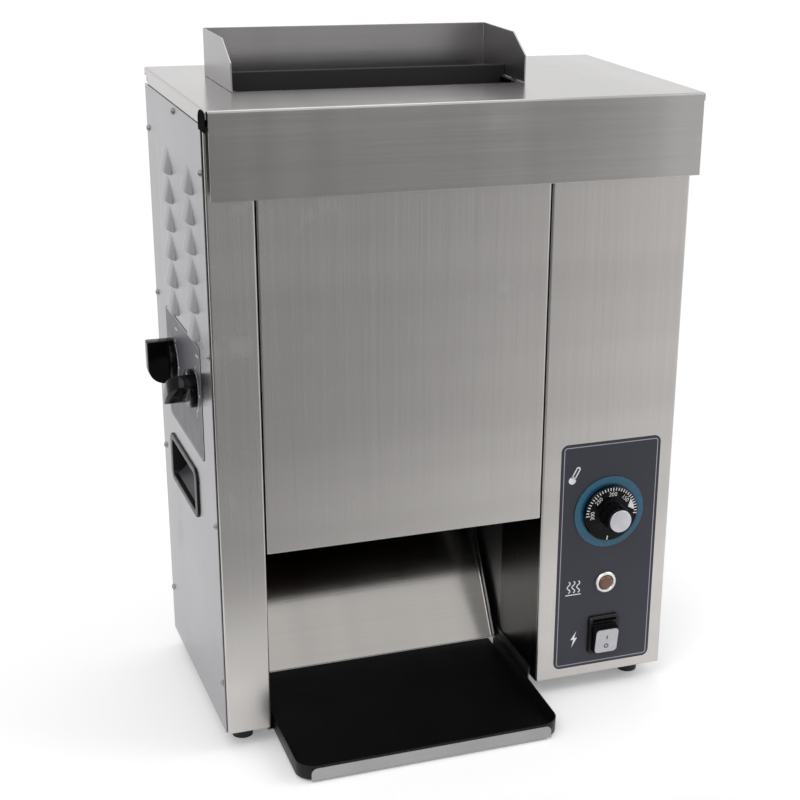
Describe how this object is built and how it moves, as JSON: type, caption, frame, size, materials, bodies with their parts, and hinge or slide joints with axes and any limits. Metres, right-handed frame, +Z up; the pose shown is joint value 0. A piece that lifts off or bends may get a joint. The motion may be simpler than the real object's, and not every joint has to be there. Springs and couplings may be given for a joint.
{
  "type": "vertical conveyor toaster",
  "caption": "Countertop vertical conveyor toaster in stainless sheet, with a feed slot and guard on top, belts beside a hot platen, a curved chute and a pull-out tray.",
  "frame": {"origin": "on the counter plane, under the middle of the overall bounding box", "axes": "+Z up, -Y towards the front where the tray comes out, +X to the right seen from the front"},
  "size_m": [0.4914, 0.3338, 0.6513],
  "materials": {
    "base_pan": "plain stainless sheet",
    "control_plate": "dark blue-grey printed film",
    "cord_gland": "black nylon gland",
    "dial_cap": "plain silver cap",
    "dial_ring": "teal-blue printed ring",
    "discharge_chute": "brushed stainless sheet",
    "feed_divider": "black non-stick coating",
    "feed_guard": "brushed stainless sheet",
    "feed_guides": "plain stainless sheet",
    "front_backing_plate": "plain stainless sheet",
    "front_belt": "ribbed silicone belt",
    "front_cam_shaft": "turned steel",
    "front_compression_knob": "black moulded plastic",
    "front_cover": "brushed stainless sheet",
    "front_drive_roller": "turned aluminium",
    "front_frame": "plain stainless sheet",
    "front_gear": "cut steel gear",
    "front_idler_roller": "turned aluminium",
    "gear_motor": "dark painted motor and gearbox",
    "heating_elements": "turned steel",
    "knob_plate": "grey printed film",
    "lamp_bezel": "bright plated ring",
    "lamp_holder": "black moulded plastic",
    "lamp_lens": "copper-brown lens, unlit",
    "left_column": "brushed stainless sheet",
    "left_handle": "black moulded plastic",
    "left_panel": "brushed stainless sheet",
    "left_side_plate": "plain stainless sheet",
    "motor_pinion": "cut steel gear",
    "motor_posts": "turned steel",
    "output_tray": "black non-stick coating",
    "panel_screws": "plated button-head screws",
    "platen": "dark non-stick coated casting",
    "platen_pins": "turned steel",
    "power_rocker": "black moulded plastic",
    "rear_backing_plate": "plain stainless sheet",
    "rear_belt": "ribbed silicone belt",
    "rear_cam_shaft": "turned steel",
    "rear_compression_knob": "black moulded plastic",
    "rear_drive_roller": "turned aluminium",
    "rear_frame": "plain stainless sheet",
    "rear_gear": "cut steel gear",
    "rear_idler_roller": "turned aluminium",
    "rear_panel": "brushed stainless sheet",
    "right_column": "brushed stainless sheet",
    "right_handle": "black moulded plastic",
    "right_panel": "brushed stainless sheet",
    "right_side_plate": "plain stainless sheet",
    "rocker_face": "light grey plastic",
    "rubber_feet": "black rubber",
    "shaft_bushes": "sintered bronze",
    "switch_housing": "black moulded plastic",
    "terminal_block": "moulded terminal block",
    "thermostat_body": "steatite body",
    "thermostat_dial": "black moulded plastic",
    "thermostat_spindle": "turned steel",
    "top_cover": "brushed stainless sheet",
    "top_rails": "plain stainless sheet",
    "tray_front_lip": "brushed stainless sheet",
    "tray_ledges": "plain stainless sheet"
  },
  "bodies": {
    "cabinet": {"base_pan": "base_pan", "rubber_feet": "rubber_feet", "left_side_plate": "left_side_plate", "right_side_plate": "right_side_plate", "shaft_bushes": "shaft_bushes", "left_column": "left_column", "right_column": "right_column", "front_cover": "front_cover", "rear_panel": "rear_panel", "top_cover": "top_cover", "top_rails": "top_rails", "feed_guides": "feed_guides", "feed_divider": "feed_divider", "platen": "platen", "platen_pins": "platen_pins", "heating_elements": "heating_elements", "gear_motor": "gear_motor", "motor_posts": "motor_posts", "left_panel": "left_panel", "right_panel": "right_panel", "panel_screws": "panel_screws", "knob_plate": "knob_plate", "left_handle": "left_handle", "right_handle": "right_handle", "discharge_chute": "discharge_chute", "tray_ledges": "tray_ledges", "control_plate": "control_plate", "dial_ring": "dial_ring", "thermostat_body": "thermostat_body", "lamp_bezel": "lamp_bezel", "lamp_lens": "lamp_lens", "lamp_holder": "lamp_holder", "switch_housing": "switch_housing", "cord_gland": "cord_gland", "terminal_block": "terminal_block"},
    "feed_guard": {"feed_guard": "feed_guard"},
    "output_tray": {"output_tray": "output_tray", "tray_front_lip": "tray_front_lip"},
    "front_conveyor": {"front_frame": "front_frame", "front_backing_plate": "front_backing_plate", "front_belt": "front_belt"},
    "rear_conveyor": {"rear_frame": "rear_frame", "rear_backing_plate": "rear_backing_plate", "rear_belt": "rear_belt"},
    "front_idler": {"front_idler_roller": "front_idler_roller"},
    "rear_idler": {"rear_idler_roller": "rear_idler_roller"},
    "front_drive": {"front_drive_roller": "front_drive_roller", "front_gear": "front_gear"},
    "rear_drive": {"rear_drive_roller": "rear_drive_roller", "rear_gear": "rear_gear"},
    "drive_pinion": {"motor_pinion": "motor_pinion"},
    "front_compression": {"front_compression_knob": "front_compression_knob", "front_cam_shaft": "front_cam_shaft"},
    "rear_compression": {"rear_compression_knob": "rear_compression_knob", "rear_cam_shaft": "rear_cam_shaft"},
    "thermostat_knob": {"thermostat_dial": "thermostat_dial", "dial_cap": "dial_cap", "thermostat_spindle": "thermostat_spindle"},
    "power_switch": {"power_rocker": "power_rocker", "rocker_face": "rocker_face"}
  },
  "joints": [
    {"name": "front_conveyor_drive", "type": "hinge", "parent": "cabinet", "child": "front_drive", "pos_m": [-0.0386, -0.00614, 0.245], "axis": [1, 0, 0], "continuous": true},
    {"name": "rear_conveyor_drive", "type": "hinge", "parent": "cabinet", "child": "rear_drive", "pos_m": [-0.0386, 0.08386, 0.245], "axis": [1, 0, 0], "continuous": true},
    {"name": "motor_pinion_spin", "type": "hinge", "parent": "cabinet", "child": "drive_pinion", "pos_m": [0.10605, 0.09939, 0.30296], "axis": [1, 0, 0], "continuous": true},
    {"name": "front_conveyor_tilt", "type": "hinge", "parent": "cabinet", "child": "front_conveyor", "pos_m": [-0.0386, -0.00614, 0.245], "axis": [-1, 0, 0], "range_deg": [-1.26, 1.26]},
    {"name": "rear_conveyor_tilt", "type": "hinge", "parent": "cabinet", "child": "rear_conveyor", "pos_m": [-0.0386, 0.08386, 0.245], "axis": [-1, 0, 0], "range_deg": [-1.26, 1.26]},
    {"name": "front_idler_spin", "type": "hinge", "parent": "front_conveyor", "child": "front_idler", "pos_m": [-0.0386, -0.00614, 0.555], "axis": [1, 0, 0], "continuous": true},
    {"name": "rear_idler_spin", "type": "hinge", "parent": "rear_conveyor", "child": "rear_idler", "pos_m": [-0.0386, 0.08386, 0.555], "axis": [1, 0, 0], "continuous": true},
    {"name": "front_compression_turn", "type": "hinge", "parent": "cabinet", "child": "front_compression", "pos_m": [-0.21975, -0.00614, 0.342], "axis": [-1, 0, 0], "range_deg": [-76, 76]},
    {"name": "rear_compression_turn", "type": "hinge", "parent": "cabinet", "child": "rear_compression", "pos_m": [-0.21975, 0.08386, 0.342], "axis": [-1, 0, 0], "range_deg": [-76, 76]},
    {"name": "thermostat_turn", "type": "hinge", "parent": "cabinet", "child": "thermostat_knob", "pos_m": [0.17175, -0.08614, 0.199], "axis": [0, -1, 0], "range_deg": [-60, 240]},
    {"name": "power_rock", "type": "hinge", "parent": "cabinet", "child": "power_switch", "pos_m": [0.17175, -0.08414, 0.064], "axis": [-1, 0, 0], "range_deg": [0, 16]},
    {"name": "tray_slide", "type": "slide", "parent": "cabinet", "child": "output_tray", "axis": [0, -0.9984, -0.0558], "range_m": [0, 0.13]},
    {"name": "feed_guard_lift", "type": "slide", "parent": "cabinet", "child": "feed_guard", "axis": [0, 0, 1], "range_m": [0, 0.06]}
  ],
  "couplings": [
    {"joint": "rear_conveyor_drive", "follows": "front_conveyor_drive", "ratio": -1},
    {"joint": "motor_pinion_spin", "follows": "front_conveyor_drive", "ratio": 3},
    {"joint": "front_idler_spin", "follows": "front_conveyor_drive", "ratio": 1},
    {"joint": "rear_idler_spin", "follows": "front_conveyor_drive", "ratio": -1},
    {"joint": "front_compression_turn", "follows": "front_conveyor_tilt", "ratio": 59.751},
    {"joint": "rear_compression_turn", "follows": "rear_conveyor_tilt", "ratio": 59.751}
  ]
}
